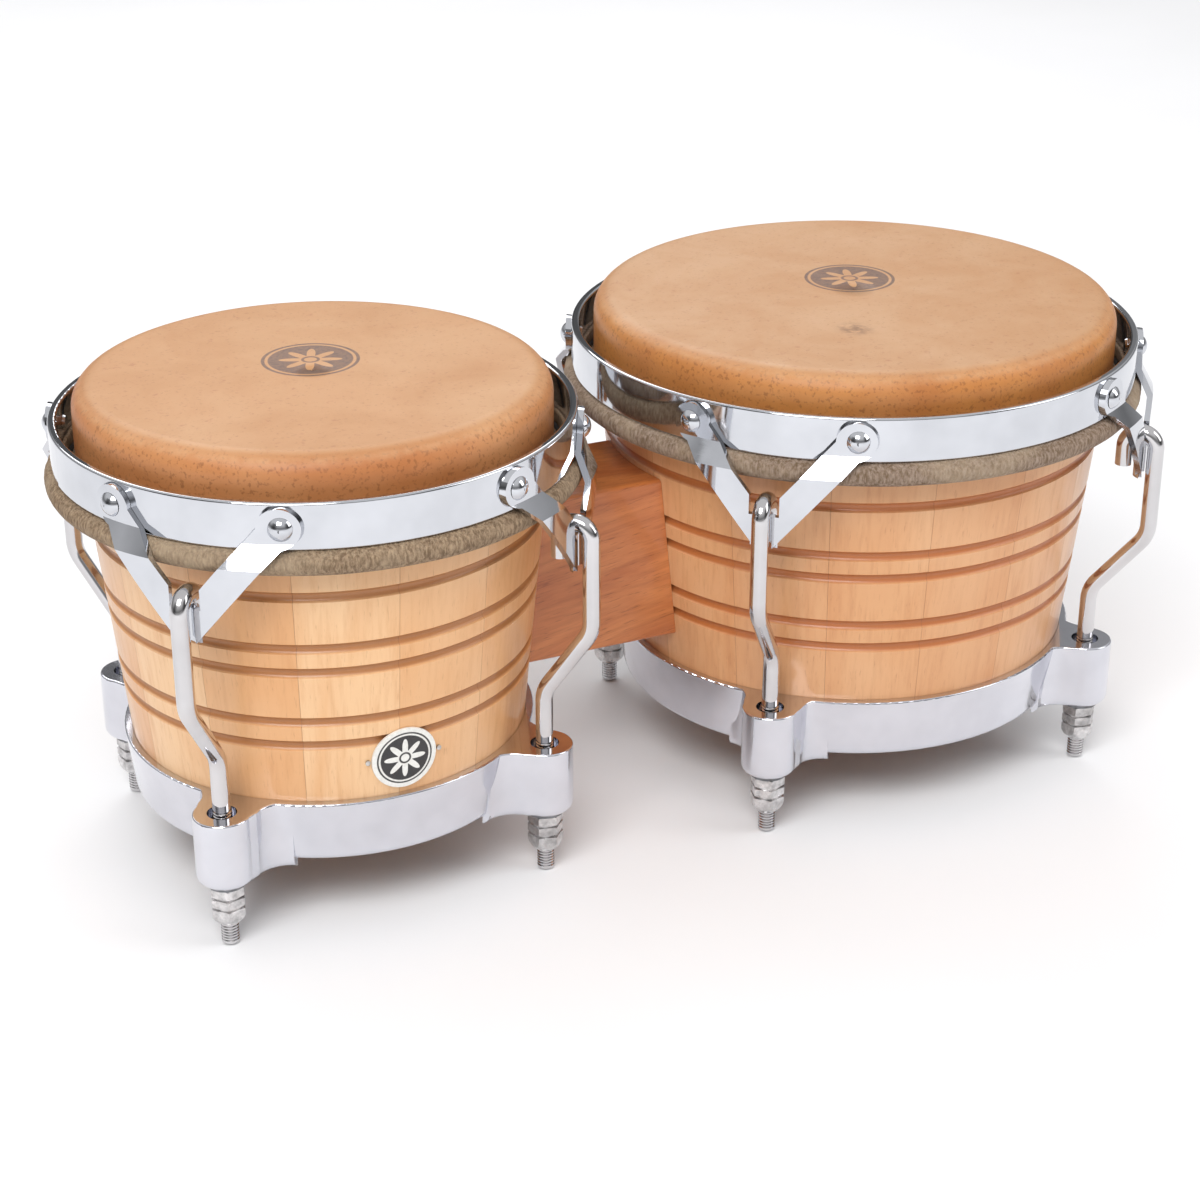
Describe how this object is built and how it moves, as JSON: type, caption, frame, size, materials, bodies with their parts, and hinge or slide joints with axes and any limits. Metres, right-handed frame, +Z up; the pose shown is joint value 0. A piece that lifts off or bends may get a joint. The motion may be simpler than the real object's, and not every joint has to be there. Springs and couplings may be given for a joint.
{
  "type": "bongo drums",
  "caption": "Pair of hand drums, one smaller, on a wooden centre block: staved shells, rawhide heads held by chrome rims, V plates, hooked tuning lugs and cast bottom rings.",
  "frame": {"origin": "centre of the bounding box on the floor, where the tips of the tuning lugs stand", "axes": "+Z up, +X along the line of the two drums from the small one to the large one, the badge faces -Y"},
  "size_m": [0.4716, 0.247, 0.2045],
  "materials": {
    "stave_wood": "clear satin lacquer over turned, pale, straight-grained staves",
    "block_wood": "clear gloss lacquer over red-brown hardwood",
    "hide": "dry tan rawhide, smooth and slightly waxy",
    "hide_lap": "rough grey-beige rawhide lap and cut edge",
    "chrome": "polished chrome plate",
    "nut_steel": "dull nickel plate",
    "inner_steel": "zinc plate",
    "badge": "gloss black enamel with a pale border",
    "brass": "small nails and inserts"
  },
  "bodies": {
    "root": {"small_shell": "stave_wood", "small_head": "hide", "small_washers": "inner_steel", "small_bottom_ring": "chrome", "small_backing_plate": "inner_steel", "small_block_bolts": "inner_steel", "small_block_inserts": "brass", "large_shell": "stave_wood", "large_head": "hide", "large_washers": "inner_steel", "large_bottom_ring": "chrome", "large_backing_plate": "inner_steel", "large_block_bolts": "inner_steel", "large_block_inserts": "brass", "centre_block": "block_wood", "badge": "badge", "badge_pins": "brass"},
    "small_tuning": {"small_hide_collar": "hide_lap", "small_flesh_hoop": "inner_steel", "small_rim": "chrome", "small_rivets": "chrome", "small_side_plate_1": "chrome", "small_lug_1": "chrome", "small_side_plate_2": "chrome", "small_lug_2": "chrome", "small_side_plate_3": "chrome", "small_lug_3": "chrome", "small_side_plate_4": "chrome", "small_lug_4": "chrome"},
    "small_nut_1_body": {"small_nut_1": "nut_steel"},
    "small_nut_2_body": {"small_nut_2": "nut_steel"},
    "small_nut_3_body": {"small_nut_3": "nut_steel"},
    "small_nut_4_body": {"small_nut_4": "nut_steel"},
    "large_tuning": {"large_hide_collar": "hide_lap", "large_flesh_hoop": "inner_steel", "large_rim": "chrome", "large_rivets": "chrome", "large_side_plate_1": "chrome", "large_lug_1": "chrome", "large_side_plate_2": "chrome", "large_lug_2": "chrome", "large_side_plate_3": "chrome", "large_lug_3": "chrome", "large_side_plate_4": "chrome", "large_lug_4": "chrome"},
    "large_nut_1_body": {"large_nut_1": "nut_steel"},
    "large_nut_2_body": {"large_nut_2": "nut_steel"},
    "large_nut_3_body": {"large_nut_3": "nut_steel"},
    "large_nut_4_body": {"large_nut_4": "nut_steel"}
  },
  "joints": [
    {"name": "small_tension", "type": "slide", "parent": "root", "child": "small_tuning", "axis": [0, 0, 1], "range_m": [-0.00375, 0.00375]},
    {"name": "small_nut_1_turn", "type": "hinge", "parent": "root", "child": "small_nut_1_body", "pos_m": [-0.19687, -0.06717, 0.018], "axis": [0, 0, 1], "range_deg": [-1090, 1090]},
    {"name": "small_nut_2_turn", "type": "hinge", "parent": "root", "child": "small_nut_2_body", "pos_m": [-0.06252, -0.06717, 0.018], "axis": [0, 0, 1], "range_deg": [-1090, 1090]},
    {"name": "small_nut_3_turn", "type": "hinge", "parent": "root", "child": "small_nut_3_body", "pos_m": [-0.06252, 0.06717, 0.018], "axis": [0, 0, 1], "range_deg": [-1090, 1090]},
    {"name": "small_nut_4_turn", "type": "hinge", "parent": "root", "child": "small_nut_4_body", "pos_m": [-0.19687, 0.06717, 0.018], "axis": [0, 0, 1], "range_deg": [-1090, 1090]},
    {"name": "large_tension", "type": "slide", "parent": "root", "child": "large_tuning", "axis": [0, 0, 1], "range_m": [-0.00375, 0.00375]},
    {"name": "large_nut_1_turn", "type": "hinge", "parent": "root", "child": "large_nut_1_body", "pos_m": [0.03438, -0.07792, 0.018], "axis": [0, 0, 1], "range_deg": [-1090, 1090]},
    {"name": "large_nut_2_turn", "type": "hinge", "parent": "root", "child": "large_nut_2_body", "pos_m": [0.19022, -0.07792, 0.018], "axis": [0, 0, 1], "range_deg": [-1090, 1090]},
    {"name": "large_nut_3_turn", "type": "hinge", "parent": "root", "child": "large_nut_3_body", "pos_m": [0.19022, 0.07792, 0.018], "axis": [0, 0, 1], "range_deg": [-1090, 1090]},
    {"name": "large_nut_4_turn", "type": "hinge", "parent": "root", "child": "large_nut_4_body", "pos_m": [0.03438, 0.07792, 0.018], "axis": [0, 0, 1], "range_deg": [-1090, 1090]}
  ],
  "couplings": [
    {"joint": "small_nut_1_turn", "follows": "small_tension", "rad_per_m": -5026.5},
    {"joint": "small_nut_2_turn", "follows": "small_tension", "rad_per_m": -5026.5},
    {"joint": "small_nut_3_turn", "follows": "small_tension", "rad_per_m": -5026.5},
    {"joint": "small_nut_4_turn", "follows": "small_tension", "rad_per_m": -5026.5},
    {"joint": "large_nut_1_turn", "follows": "large_tension", "rad_per_m": -5026.5},
    {"joint": "large_nut_2_turn", "follows": "large_tension", "rad_per_m": -5026.5},
    {"joint": "large_nut_3_turn", "follows": "large_tension", "rad_per_m": -5026.5},
    {"joint": "large_nut_4_turn", "follows": "large_tension", "rad_per_m": -5026.5}
  ]
}
